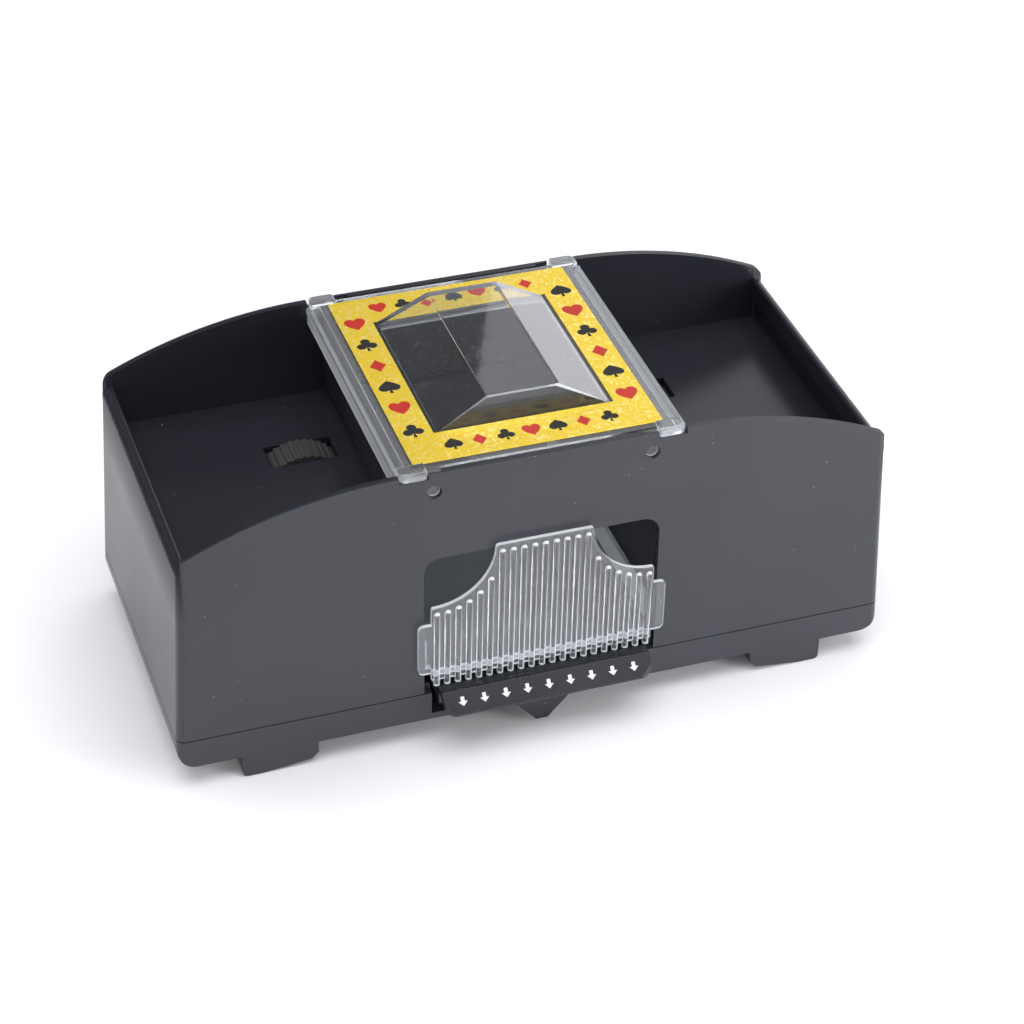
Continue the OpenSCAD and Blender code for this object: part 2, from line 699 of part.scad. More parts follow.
module gear_plate(side) color(nylon) on_side(side) difference() {
    from_y(plate_y[0], plate_y[1]) polygon([
        [shaft_x - 6.5, floor_under - 0.2], [shaft_x - 6.5, shaft_z - 5.5], [idler_x - 7, idler_z - 7],
        [motor_x - 8, motor_z - 9.6], [motor_x + 10.6, motor_z - 9.6], [motor_x + 12, motor_z + 6],
        [88, floor_under - 6], [88, floor_under - 0.2]]);
    rod_y(shaft_x, shaft_z, bush_d, plate_y[0] - 1, plate_y[1] + 1);
    rod_y(idler_x, idler_z, idler_pin_d, plate_y[0] - 1, plate_y[1] + 1);
    rod_y(motor_x, motor_z, 6.1, plate_y[0] - 1, plate_y[1] + 1);
    for (x = plate_screw_x) rod_y(x, plate_screw_z, 2.2, plate_y[0] - 1, plate_y[1] + 1);
    motor_screws(2.2, plate_y[0] - 1, plate_y[1] + 1);
}

module motor_can(side) color(steel) on_side(side) difference() {
    back = plate_y[0] - motor_len;
    union() {
        intersection() {
            rod_y(motor_x, motor_z, motor_d, back, plate_y[0]);
            block([motor_x - motor_d, back - 1, motor_z - motor_flat / 2],
                  [motor_x + motor_d, plate_y[0] + 1, motor_z + motor_flat / 2]);
        }
        rod_y(motor_x, motor_z, 6, plate_y[0] - 1, plate_y[1] - 0.4);
    }
    rod_y(motor_x, motor_z, motor_shaft_d + fit, back + 4, plate_y[1] + 1);
    motor_screws(1.7, plate_y[0] - 3, plate_y[0] + 1);
}

module motor_cap(side) color(nylon) on_side(side) {
    back = plate_y[0] - motor_len;
    intersection() {
        rod_y(motor_x, motor_z, motor_d - 1, back - 2.5, back);
        block([motor_x - motor_d, back - 3, motor_z - motor_flat / 2 + 0.5],
              [motor_x + motor_d, back + 1, motor_z + motor_flat / 2 - 0.5]);
    }
    for (s = [-1, 1])
        block([motor_x + 6 * s - 1, back - 5, motor_z - 0.2],
              [motor_x + 6 * s + 1, back - 2, motor_z + 0.2]);
}

module motor_shaft(side) color(steel) on_side(side)
    rod_y(motor_x, motor_z, motor_shaft_d, plate_y[0] - motor_len + 4.5, large_gear_y[1] + 0.8);

module motor_pinion(side) color(brass) on_side(side)
    gear_at(motor_x, motor_z, [large_gear_y[0] - 0.4, large_gear_y[1] + 0.4], pinion_teeth,
        motor_shaft_d, motor_turn + 180);

module idler_gear(side) color(nylon) on_side(side) {
    gear_at(idler_x, idler_z, [small_gear_y[0], large_gear_y[0]], pinion_teeth, idler_pin_d + fit,
        idler_turn + 180 + 180 / pinion_teeth);
    gear_at(idler_x, idler_z, large_gear_y, idler_teeth, idler_pin_d + fit, motor_turn + 180 / idler_teeth);
}

module idler_pin(side) color(steel) on_side(side) {
    rod_y(idler_x, idler_z, idler_pin_d, plate_y[0], large_gear_y[1] + 1.4);
    rod_y(idler_x, idler_z, 4, large_gear_y[1] + 0.4, large_gear_y[1] + 1.2);
}

module feed_shaft(side) color(steel) on_side(side)
    rod_y(shaft_x, shaft_z, shaft_d, hanger_y[0] - 1.8, small_gear_y[1]);

module feed_gear(side) color(nylon) on_side(side)
    gear_at(shaft_x, shaft_z, small_gear_y, shaft_teeth, shaft_d, idler_turn);

// Hub of a feed wheel, with a web and a rim that holds the tyre
module wheel(y) difference() {
    union() {
        rod_y(shaft_x, shaft_z, hub_d, y - wheel_w / 2, y + wheel_w / 2);
        rod_y(shaft_x, shaft_z, 6.4, y - wheel_w / 2 - 0.8, y + wheel_w / 2 + 0.8);
    }
    rod_y(shaft_x, shaft_z, shaft_d, y - wheel_w, y + wheel_w);
    for (s = [-1, 1]) difference() {
        rod_y(shaft_x, shaft_z, hub_d - 3, y + s * 3 - 2, y + s * 3 + 2);
        rod_y(shaft_x, shaft_z, 6.4, y - wheel_w, y + wheel_w);
    }
}
module wheel_front(side) color(nylon) on_side(side) wheel(-wheel_y);
module wheel_back(side) color(nylon) on_side(side) wheel(wheel_y);

// Rubber tyre with a shallow ribbed tread
module tyre(y) {
    ribs = 36;
    translate([shaft_x, y + wheel_w / 2, shaft_z]) rotate([90, 0, 0]) linear_extrude(wheel_w) difference() {
        polygon([for (i = [0:ribs - 1], e = [[-0.34, 0], [-0.2, 0.35], [0.2, 0.35], [0.34, 0]])
            let (a = (i + e[0]) * 360 / ribs, r = wheel_d / 2 - 0.35 + e[1]) r * [cos(a), sin(a)]]);
        circle(d = hub_d);
    }
}
module tyre_front(side) color(rubber) on_side(side) tyre(-wheel_y);
module tyre_back(side) color(rubber) on_side(side) tyre(wheel_y);

// Flanged bushes pressed into the hanger and the gear plate
module bush(y0, y1, flange_y) difference() {
    union() {
        rod_y(shaft_x, shaft_z, bush_d, y0, y1);
        rod_y(shaft_x, shaft_z, bush_d + 2, flange_y, flange_y + 0.8);
    }
    rod_y(shaft_x, shaft_z, shaft_d + fit, y0 - 2, y1 + 2);
}
module shaft_bushes(side) color(brass) on_side(side) {
    bush(hanger_y[0], hanger_y[1], hanger_y[1]);
    bush(plate_y[0], plate_y[1], plate_y[0] - 0.8);
}

// Open spring clip on the front end of the shaft
module shaft_clip(side) color(steel) on_side(side)
    translate([shaft_x, hanger_y[0] - 0.4, shaft_z]) rotate([90, 0, 0]) linear_extrude(0.6) difference() {
        circle(d = 6.4);
        circle(d = shaft_d);
        translate([-1.1, -5]) square([2.2, 5]);
    }

// Two screws that hold the gear plate and two that hold the motor
module unit_screws(side) color(steel) on_side(side) {
    for (x = plate_screw_x) {
        rod_y(x, plate_screw_z, 1.8, plate_y[0] - 4.5, plate_y[1] + 0.2);
        rod_y(x, plate_screw_z, 3.6, plate_y[1], plate_y[1] + 1.2);
    }
    motor_screws(1.7, plate_y[0] - 2.5, plate_y[1] + 0.2);
    motor_screws(3.2, plate_y[1], plate_y[1] + 1.1);
}

// ---------------------------------------------------------------- cells and wiring

// Power cell along Y with its end cap towards the back
module cell(x) {
    y = cell_shift - cell_len / 2;
    rod_y(x, cell_z, cell_d, y, y + cell_len - nub_len);
    rod_y(x, cell_z, nub_d, y + cell_len - nub_len - 0.5, y + cell_len);
}
module cell_inner(side) color([0.2, 0.34, 0.2]) on_side(side) cell(cell_x[0]);
module cell_outer(side) color([0.2, 0.34, 0.2]) on_side(side) mirror([0, 1, 0]) cell(cell_x[1]);

// Conical contact spring, coiled from a wide foot to a narrow tip
function spring_point(a, y0, y1, turns) =
    let (f = a / (360 * turns), r = 4.2 - 2.0 * f) [r * cos(a), y0 + (y1 - y0) * f, r * sin(a)];
module contact_spring(x, y0, y1) {
    turns = 3;
    rings = turns * 12;
    sides = 6;
    wire_r = 0.25;
    points = [for (i = [0:rings]) let (a = i * 360 * turns / rings, p = spring_point(a, y0, y1, turns))
        for (k = [0:sides - 1]) let (b = k * 360 / sides)
            p + wire_r * [cos(b) * cos(a), sin(b), cos(b) * sin(a)]];
    body = [for (i = [0:rings - 1], k = [0:sides - 1]) let (n = (k + 1) % sides)
        [i * sides + k, i * sides + n, (i + 1) * sides + n, (i + 1) * sides + k]];
    translate([x, 0, cell_z]) polyhedron(points, concat(body,
        [[for (k = [sides - 1:-1:0]) k]], [[for (k = [0:sides - 1]) rings * sides + k]]));
}
module contact_springs(side) color(steel) on_side(side) {
    foot = bay_half_d - contact_t - 0.3;
    tip = cell_len / 2 - cell_shift + 0.3;
    contact_spring(cell_x[0], -foot, -tip);
    contact_spring(cell_x[1], foot, tip);
}
module contact_plates(side) color(steel) on_side(side) {
    z = [cell_z - 5, cell_z + 5];
    for (x = cell_x) {
        block([x - 6, -bay_half_d, z[0]], [x + 6, -bay_half_d + contact_t, z[1]]);
        block([x - 1, -bay_half_d, z[1] - 0.1], [x + 1, -bay_half_d + contact_t, tab_top]);
    }
    block([cell_x[0] - 6, bay_half_d - contact_t, z[0]], [cell_x[1] + 6, bay_half_d, z[1]]);
}

// Cover that slides outwards off the cell bay, with finger ridges
module battery_door(side) color(case_black) on_side(side) {
    top = cover_z - door_gap;
    block([door_x[0], -door_half_d, top - door_t], [door_x[1], door_half_d, top]);
    for (i = [0:3])
        block([door_x[1] - 6 - 3 * i, -10, top - door_t - 0.6],
              [door_x[1] - 4.8 - 3 * i, 10, top - door_t + 0.1]);
}

// Route with its corners rounded
function unit(v) = v / norm(v);
function rounded(p) = concat([p[0]], [for (i = [1:len(p) - 2], t = [0:0.25:1])
    let (a = p[i] + wire_bend * unit(p[i - 1] - p[i]), b = p[i] + wire_bend * unit(p[i + 1] - p[i]))
    (1 - t) * (1 - t) * a + 2 * t * (1 - t) * p[i] + t * t * b], [p[len(p) - 1]]);

// Side directions carried along a list of run directions without twist
function carried(runs, i, side) = i == len(runs) ? [] :
    let (u = unit(side - (side * runs[i]) * runs[i])) concat([u], carried(runs, i + 1, u));

// Insulated wire swept along a route
module wire(route) {
    path = rounded(route);
    last = len(path) - 1;
    runs = [for (i = [0:last]) unit(path[min(i + 1, last)] - path[max(i - 1, 0)])];
    sides = carried(runs, 0, cross(runs[0], [0.3, 0.2, 1]));
    points = [for (i = [0:last], k = [0:wire_sides - 1]) let (a = k * 360 / wire_sides)
        path[i] + wire_d / 2 * (cos(a) * sides[i] + sin(a) * cross(runs[i], sides[i]))];
    body = [for (i = [0:last - 1], k = [0:wire_sides - 1]) let (n = (k + 1) % wire_sides)
        [i * wire_sides + k, (i + 1) * wire_sides + k, (i + 1) * wire_sides + n, i * wire_sides + n]];
    polyhedron(points, concat(body, [[for (k = [0:wire_sides - 1]) k]],
        [[for (k = [wire_sides - 1:-1:0]) last * wire_sides + k]]));
}
tab_point = [0, -bay_half_d + 0.7, tab_top - 0.6];
terminal_y = plate_y[0] - motor_len - 4.6;
red_route = [tab_point + [cell_x[1], 0, 0], [83, -25, 31], [81, -9, 36], [motor_x + 6, terminal_y, motor_z]];
black_route = [[motor_x - 6, terminal_y, motor_z], [67, -8, 31], [50, -8, 29], [41, -9, 24],
    [39, -9, 11.5], [4.6, -9, 11.5]];
link_half = [tab_point + [cell_x[0], 0, 0], [60, -33, 28.5], [47, -37.5, 24], [42, -36, 11.3],
    [42.4, 37, 11]];
module wire_red() color([0.75, 0.1, 0.1]) both_sides() wire(red_route);
module wire_black() color([0.1, 0.1, 0.1]) both_sides() wire(black_route);
module wire_link() color([0.2, 0.3, 0.7]) wire(concat(link_half, [for (i = [len(link_half) - 1:-1:0])
    [-link_half[i][0], link_half[i][1], link_half[i][2]]]));

// Places a piece, measured from the middle of the case, in the frame of the whole object
module placed() translate([0, case_shift, 0]) children();

placed() upper_housing();
placed() bottom_cover();
placed() chamber_frame();
placed() lid();
placed() lid_label();
placed() card_tray();
placed() press_lever();
placed() lever_pin();
placed() switch_leaf();
placed() switch_plate();
placed() case_screws();
placed() frame_screws();
placed() wire_red();
placed() wire_black();
placed() wire_link();
placed() gear_plate(-1);  // gear_plate_left
placed() motor_can(-1);  // motor_can_left
placed() motor_cap(-1);  // motor_cap_left
placed() motor_shaft(-1);  // motor_shaft_left
placed() motor_pinion(-1);  // motor_pinion_left
placed() idler_gear(-1);  // idler_gear_left
placed() idler_pin(-1);  // idler_pin_left
placed() feed_shaft(-1);  // feed_shaft_left
placed() feed_gear(-1);  // feed_gear_left
placed() wheel_front(-1);  // wheel_front_left
placed() wheel_back(-1);  // wheel_back_left
placed() tyre_front(-1);  // tyre_front_left
placed() tyre_back(-1);  // tyre_back_left
placed() shaft_bushes(-1);  // shaft_bushes_left
placed() shaft_clip(-1);  // shaft_clip_left
placed() unit_screws(-1);  // unit_screws_left
placed() cell_inner(-1);  // cell_inner_left
placed() cell_outer(-1);  // cell_outer_left
placed() contact_springs(-1);  // contact_springs_left
placed() contact_plates(-1);  // contact_plates_left
placed() feed_gate(-1);  // feed_gate_left
placed() battery_door(-1);  // battery_door_left
placed() gear_plate(1);  // gear_plate_right
placed() motor_can(1);  // motor_can_right
placed() motor_cap(1);  // motor_cap_right
placed() motor_shaft(1);  // motor_shaft_right
placed() motor_pinion(1);  // motor_pinion_right
placed() idler_gear(1);  // idler_gear_right
placed() idler_pin(1);  // idler_pin_right
placed() feed_shaft(1);  // feed_shaft_right
placed() feed_gear(1);  // feed_gear_right
placed() wheel_front(1);  // wheel_front_right
placed() wheel_back(1);  // wheel_back_right
placed() tyre_front(1);  // tyre_front_right
placed() tyre_back(1);  // tyre_back_right
placed() shaft_bushes(1);  // shaft_bushes_right
placed() shaft_clip(1);  // shaft_clip_right
placed() unit_screws(1);  // unit_screws_right
placed() cell_inner(1);  // cell_inner_right
placed() cell_outer(1);  // cell_outer_right
placed() contact_springs(1);  // contact_springs_right
placed() contact_plates(1);  // contact_plates_right
placed() feed_gate(1);  // feed_gate_right
placed() battery_door(1);  // battery_door_right
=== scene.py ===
import json
import math

import bmesh
import bpy
from mathutils import Matrix, Vector


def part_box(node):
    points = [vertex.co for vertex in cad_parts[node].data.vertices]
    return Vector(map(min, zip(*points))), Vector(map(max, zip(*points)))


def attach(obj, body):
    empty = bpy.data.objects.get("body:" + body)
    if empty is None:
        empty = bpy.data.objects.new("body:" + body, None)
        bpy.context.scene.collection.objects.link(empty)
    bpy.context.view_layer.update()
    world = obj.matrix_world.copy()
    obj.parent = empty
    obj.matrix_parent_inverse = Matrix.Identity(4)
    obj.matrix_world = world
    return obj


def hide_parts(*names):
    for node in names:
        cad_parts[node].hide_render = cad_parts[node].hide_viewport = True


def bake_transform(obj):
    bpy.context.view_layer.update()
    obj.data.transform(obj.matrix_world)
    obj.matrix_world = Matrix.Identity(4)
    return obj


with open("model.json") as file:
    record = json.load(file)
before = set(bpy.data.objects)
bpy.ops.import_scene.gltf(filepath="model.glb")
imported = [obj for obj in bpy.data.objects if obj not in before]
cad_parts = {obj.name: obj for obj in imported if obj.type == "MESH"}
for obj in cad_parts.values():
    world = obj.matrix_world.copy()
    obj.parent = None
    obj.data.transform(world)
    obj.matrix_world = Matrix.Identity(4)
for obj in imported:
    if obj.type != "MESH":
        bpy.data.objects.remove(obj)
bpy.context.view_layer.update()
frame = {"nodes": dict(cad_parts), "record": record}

scene = bpy.context.scene
MM = 0.001  # metres in a millimetre


# ------------------------------------------------------------------ camera

LENS = 100.6  # focal length in mm
AZIMUTH = math.radians(-19.51)
ELEVATION = math.radians(36.49)
ROLL = math.radians(1.31)
DISTANCE = 0.8349  # from the target, in metres
case_low, case_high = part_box("upper_housing")
CASE_Y = (case_low.y + case_high.y) / 2
TARGET = Vector((0.0, CASE_Y, 0.0459))
PAN = (0.0068, -0.0052)  # shift of the camera along its own right and up


def make_camera():
    """Camera fitted to the edges of the case in the photograph."""
    back = Vector((math.sin(AZIMUTH) * math.cos(ELEVATION),
                   -math.cos(AZIMUTH) * math.cos(ELEVATION), math.sin(ELEVATION)))
    level = Vector((math.cos(AZIMUTH), math.sin(AZIMUTH), 0))
    upright = back.cross(level)
    right = level * math.cos(ROLL) + upright * math.sin(ROLL)
    up = upright * math.cos(ROLL) - level * math.sin(ROLL)
    cam = bpy.data.objects.new("camera", bpy.data.cameras.new("camera"))
    cam.data.lens = LENS
    cam.data.clip_start, cam.data.clip_end = 0.01, 20
    place = TARGET + back * DISTANCE + right * PAN[0] + up * PAN[1]
    cam.matrix_world = Matrix([(right.x, up.x, back.x, place.x), (right.y, up.y, back.y, place.y),
                               (right.z, up.z, back.z, place.z), (0, 0, 0, 1)])
    scene.collection.objects.link(cam)
    scene.camera = cam


make_camera()


# ------------------------------------------------------------------ nodes of a material

DUST_CELL = 4.0  # mm between the places of dust specks
DUST_RADIUS = 0.032  # radius of a speck as a share of its cell


class Mat:
    """A material with a few helpers for its node tree."""

    def __init__(self, name, color=(0.5, 0.5, 0.5), rough=0.4, metal=0.0):
        self.mat = bpy.data.materials.new(name)
        self.mat.use_nodes = True
        self.nt = self.mat.node_tree
        self.bsdf = self.nt.nodes["Principled BSDF"]
        self.set("Base Color", (*color, 1))
        self.set("Roughness", rough)
        self.set("Metallic", metal)
        self.mat.diffuse_color = (*color, 1)
        self._coord = None

    def set(self, name, value):
        self.bsdf.inputs[name].default_value = value

    def node(self, kind, **props):
        n = self.nt.nodes.new(kind)
        for k, v in props.items():
            setattr(n, k, v)
        return n

    def link(self, a, b):
        self.nt.links.new(a, b)

    def coord(self, scale=(1, 1, 1)):
        """Object coordinates in millimetres, stretched by scale."""
        if self._coord is None:
            self._coord = self.node("ShaderNodeTexCoord").outputs["Object"]
        m = self.node("ShaderNodeMapping")
        m.inputs["Scale"].default_value = [s / MM for s in scale]
        self.link(self._coord, m.inputs["Vector"])
        return m.outputs["Vector"]

    def noise(self, size, detail=3.0, scale=(1, 1, 1), distortion=0.0):
        """Noise whose blobs are about size millimetres across."""
        n = self.node("ShaderNodeTexNoise")
        n.inputs["Scale"].default_value = 1.0 / size
        n.inputs["Detail"].default_value = detail
        n.inputs["Roughness"].default_value = 0.55
        n.inputs["Distortion"].default_value = distortion
        self.link(self.coord(scale), n.inputs["Vector"])
        return n.outputs["Fac"]

    def axes(self, vector):
        """The X, Y and Z of a vector."""
        n = self.node("ShaderNodeSeparateXYZ")
        self.link(vector, n.inputs["Vector"])
        return n.outputs["X"], n.outputs["Y"], n.outputs["Z"]

    def off_centre(self):
        """Distance in millimetres from the middle of the case, across and in depth, and the height."""
        x, y, z = self.axes(self.coord())
        return self.math("ABSOLUTE", x), self.math("ABSOLUTE", self.math("SUBTRACT", y, CASE_Y / MM)), z

    def ramp(self, fac, stops):
        """Map a value through (position, value) stops."""
        r = self.node("ShaderNodeValToRGB")
        els = r.color_ramp.elements
        while len(els) < len(stops):
            els.new(0.5)
        for e, (p, v) in zip(els, stops):
            e.position = p
            e.color = v if isinstance(v, tuple) else (v, v, v, 1)
        self.link(fac, r.inputs["Fac"])
        return r.outputs["Color"]

    def math(self, op, a, b=None):
        n = self.node("ShaderNodeMath", operation=op)
        for i, v in enumerate((a, b)):
            if v is None:
                continue
            if isinstance(v, (int, float)):
                n.inputs[i].default_value = v
            else:
                self.link(v, n.inputs[i])
        return n.outputs[0]

    def mix(self, fac, a, b):
        """Colour a where fac is 0 and b where it is 1."""
        n = self.node("ShaderNodeMix", data_type="RGBA")
        for sock, v in ((n.inputs[0], fac), (n.inputs[6], a), (n.inputs[7], b)):
            if isinstance(v, tuple):
                sock.default_value = (*v[:3], 1)
            elif isinstance(v, (int, float)):
                sock.default_value = v
            else:
                self.link(v, sock)
        return n.outputs[2]

    def bump(self, height, strength, distance_mm, normal=None):
        """Normal roughened by a height, on top of another normal."""
        b = self.node("ShaderNodeBump")
        b.inputs["Strength"].default_value = strength
        b.inputs["Distance"].default_value = distance_mm * MM
        self.link(height, b.inputs["Height"])
        if normal is not None:
            self.link(normal, b.inputs["Normal"])
        return b.outputs["Normal"]

    def normal(self, out):
        self.link(out, self.bsdf.inputs["Normal"])

    def dust(self, amount):
        """1 on small specks in that share of the DUST_CELL cells, 0 elsewhere."""
        cells = self.node("ShaderNodeTexVoronoi")
        cells.inputs["Scale"].default_value = 1.0 / DUST_CELL
        self.link(self.coord(), cells.inputs["Vector"])
        near = self.math("LESS_THAN", cells.outputs["Distance"], DUST_RADIUS)
        sep = self.node("ShaderNodeSeparateColor")
        self.link(cells.outputs["Color"], sep.inputs["Color"])
        return self.math("MULTIPLY", near, self.math("LESS_THAN", sep.outputs[0], amount))


PANEL_HALF_D = 46.2  # mm from the middle of the case, just inside the outer faces of the panels
END_HALF_W = 101.6  # mm, just inside the outer faces of the end walls
WELL_DEPTH = 19.0  # mm from the crown down to the bead of the end walls
SAG_Z = 56.0  # mm, height from which the end walls roll inwards
SAG = -0.016  # sag of the roll per square millimetre above that
DUST_COLOR = (0.5, 0.5, 0.52)


def black_plastic(name, base, rough, dust=0.35, skin_and_painted_shade=False):
    """Black moulding; the skin flag makes the outer faces of the case textured and the inner ones glossy,
    and paints shade on the inner faces and on the band at the top of the end walls.
    """
    m = Mat(name, base, rough)
    cloud = m.noise(38, 3)
    fine = m.noise(0.35, 2)
    tone = m.mix(m.ramp(cloud, [(0.35, 0.0), (0.7, 1.0)]), base, tuple(c * 1.18 for c in base))
    rough_map = m.ramp(m.math("ADD", m.math("MULTIPLY", fine, 0.4), m.math("MULTIPLY", cloud, 0.6)),
                       [(0.3, rough - 0.04), (0.7, rough + 0.05)])
    roll = None
    if skin_and_painted_shade:
        along, across, z = m.off_centre()
        outside = m.math("MAXIMUM", m.math("GREATER_THAN", across, PANEL_HALF_D),
                         m.math("GREATER_THAN", along, END_HALF_W))
        low = m.math("LESS_THAN", z, case_high.z / MM - WELL_DEPTH)
        textured_unshaded = m.math("MULTIPLY", outside, m.math("MAXIMUM", low, m.math("LESS_THAN", along, END_HALF_W)))
        # Painted shade: the faces inside the case and the band at the top of the end walls get 0.8 of the
        # base colour
        tone = m.mix(textured_unshaded, tuple(c * 0.8 for c in base), tone)
        rough_map = m.mix(textured_unshaded, (0.25, 0.25, 0.25), rough_map)
        over = m.math("MAXIMUM", m.math("SUBTRACT", z, SAG_Z), 0.0)
        sag = m.math("MULTIPLY", m.math("MULTIPLY", over, over), SAG)
        roll = m.math("MULTIPLY", sag, m.math("GREATER_THAN", along, END_HALF_W))
    m.link(m.mix(m.dust(dust), tone, DUST_COLOR), m.bsdf.inputs["Base Color"])
    m.link(rough_map, m.bsdf.inputs["Roughness"])
    n = m.bump(roll, 1.0, 1.0) if roll is not None else None
    m.normal(m.bump(fine, 0.35, 0.02, n))
    m.set("IOR", 1.56)
    return m.mat


CLEAR_TINT = (0.97, 0.98, 1.0)
LAMP_TINT = (0.82, 0.84, 0.87)  # what a clear wall lets through of a lamp's light
# Painted highlight on the upward faces of the card tray's front rim, as a share of white
RIM_HIGHLIGHT = 0.6
# Faint painted sheen on the lid's border around the dome, as a share of white
BORDER_SHEEN = 0.045


def clear_plastic(name, rough, clear, edge_highlight, rim_y=None, border=None):
    """Clear moulding, with a painted highlight where it is seen at grazing angles, a painted highlight on
    the rim in front of rim_y (mm) and a faint painted sheen outside the half width and half depth in border
    (mm).

    The fourth argument is (facing where the painted highlight starts, facing where it is full, how strong)."""
    m = Mat(name, CLEAR_TINT, rough)
    m.set("IOR", 1.5)
    haze = m.ramp(m.noise(3.0, 4), [(0.35, rough), (0.75, rough + 0.03)])
    m.link(haze, m.bsdf.inputs["Roughness"])
    m.normal(m.bump(m.noise(14.0, 2), 0.05, 0.3))
    # Painted highlight: the moulding turns white, with less transmission, where it is seen at grazing angles
    weight = m.node("ShaderNodeLayerWeight")
    weight.inputs["Blend"].default_value = 0.5
    seen = m.ramp(weight.outputs["Facing"], [(edge_highlight[0], 0.0), (edge_highlight[1], 1.0)])
    solid = m.math("MULTIPLY", seen, edge_highlight[2])
    wear = m.math("MULTIPLY", m.ramp(m.noise(2.2, 4), [(0.62, 0.0), (0.75, 1.0)]), 0.06)
    solid = m.math("MAXIMUM", solid, wear)
    if rim_y is not None:
        up = m.axes(m.node("ShaderNodeNewGeometry").outputs["Normal"])[2]
        y = m.axes(m.coord())[1]
        # Painted highlight on the upward faces in front of rim_y
        rim = m.math("MULTIPLY", m.math("GREATER_THAN", up, 0.3), m.math("LESS_THAN", y, rim_y))
        solid = m.math("MAXIMUM", solid, m.math("MULTIPLY", rim, RIM_HIGHLIGHT))
    if border is not None:
        along, across, _ = m.off_centre()
        outside = m.math("MAXIMUM", m.math("GREATER_THAN", along, border[0]),
                         m.math("GREATER_THAN", across, border[1]))
        # Faint painted sheen outside the border's half width and half depth
        solid = m.math("MAXIMUM", solid, m.math("MULTIPLY", outside, BORDER_SHEEN))
    m.link(m.math("MULTIPLY", m.math("SUBTRACT", 1.0, solid), clear),
           m.bsdf.inputs["Transmission Weight"])
    # Rays from the lamps go straight on, so that the pieces behind are lit
    through = m.node("ShaderNodeBsdfTransparent")
    through.inputs["Color"].default_value = (*LAMP_TINT, 1)
    path = m.node("ShaderNodeLightPath")
    choose = m.node("ShaderNodeMixShader")
    m.link(path.outputs["Is Shadow Ray"], choose.inputs["Fac"])
    m.link(m.bsdf.outputs["BSDF"], choose.inputs[1])
    m.link(through.outputs["BSDF"], choose.inputs[2])
    m.link(choose.outputs["Shader"], m.nt.nodes["Material Output"].inputs["Surface"])
    return m.mat


def metal(name, base, rough, brush=(1, 1, 1)):
    """Metal with streaks, drawn out along the axis on which brush is small."""
    m = Mat(name, base, rough, 1.0)
    streak = m.noise(0.4, 3, scale=brush)
    m.link(m.ramp(streak, [(0.3, rough - 0.06), (0.7, rough + 0.1)]), m.bsdf.inputs["Roughness"])
    m.link(m.mix(m.ramp(m.noise(6, 3), [(0.4, 0.0), (0.75, 1.0)]), base, tuple(c * 0.82 for c in base)),
           m.bsdf.inputs["Base Color"])
    m.normal(m.bump(streak, 0.15, 0.02))
    return m.mat


def moulded(name, base, rough, grain_mm=0.4, strength=0.2, sss=0.0):
    """Plain moulded or painted surface with a fine grain."""
    m = Mat(name, base, rough)
    if sss:
        m.set("Subsurface Weight", sss)
        m.set("Subsurface Radius", (0.002, 0.0018, 0.0015))
    m.link(m.mix(m.ramp(m.noise(5, 3), [(0.35, 0.0), (0.7, 1.0)]), base, tuple(c * 0.88 for c in base)),
           m.bsdf.inputs["Base Color"])
    fine = m.noise(grain_mm, 3)
    m.link(m.ramp(fine, [(0.3, rough - 0.05), (0.7, rough + 0.07)]), m.bsdf.inputs["Roughness"])
    m.normal(m.bump(fine, strength, 0.03))
    return m.mat


def foil(name):
    """Crinkled yellow foil, with painted glints on the creases."""
    base = (0.90, 0.64, 0.045)
    m = Mat(name, base, 0.3, 0.4)
    crease = m.noise(3.0, 1.5, distortion=2.2)
    broad = m.noise(16, 2)
    # Painted glints: the high parts of the crease noise get a lighter yellow
    painted_glints = m.ramp(crease, [(0.52, 0.0), (0.68, 1.0)])
    m.link(m.mix(painted_glints, base, (1.0, 0.80, 0.24)), m.bsdf.inputs["Base Color"])
    m.link(m.ramp(crease, [(0.3, 0.34), (0.65, 0.2)]), m.bsdf.inputs["Roughness"])
    n = m.bump(crease, 0.2, 0.3)
    m.normal(m.bump(broad, 0.3, 0.8, n))
    return m.mat


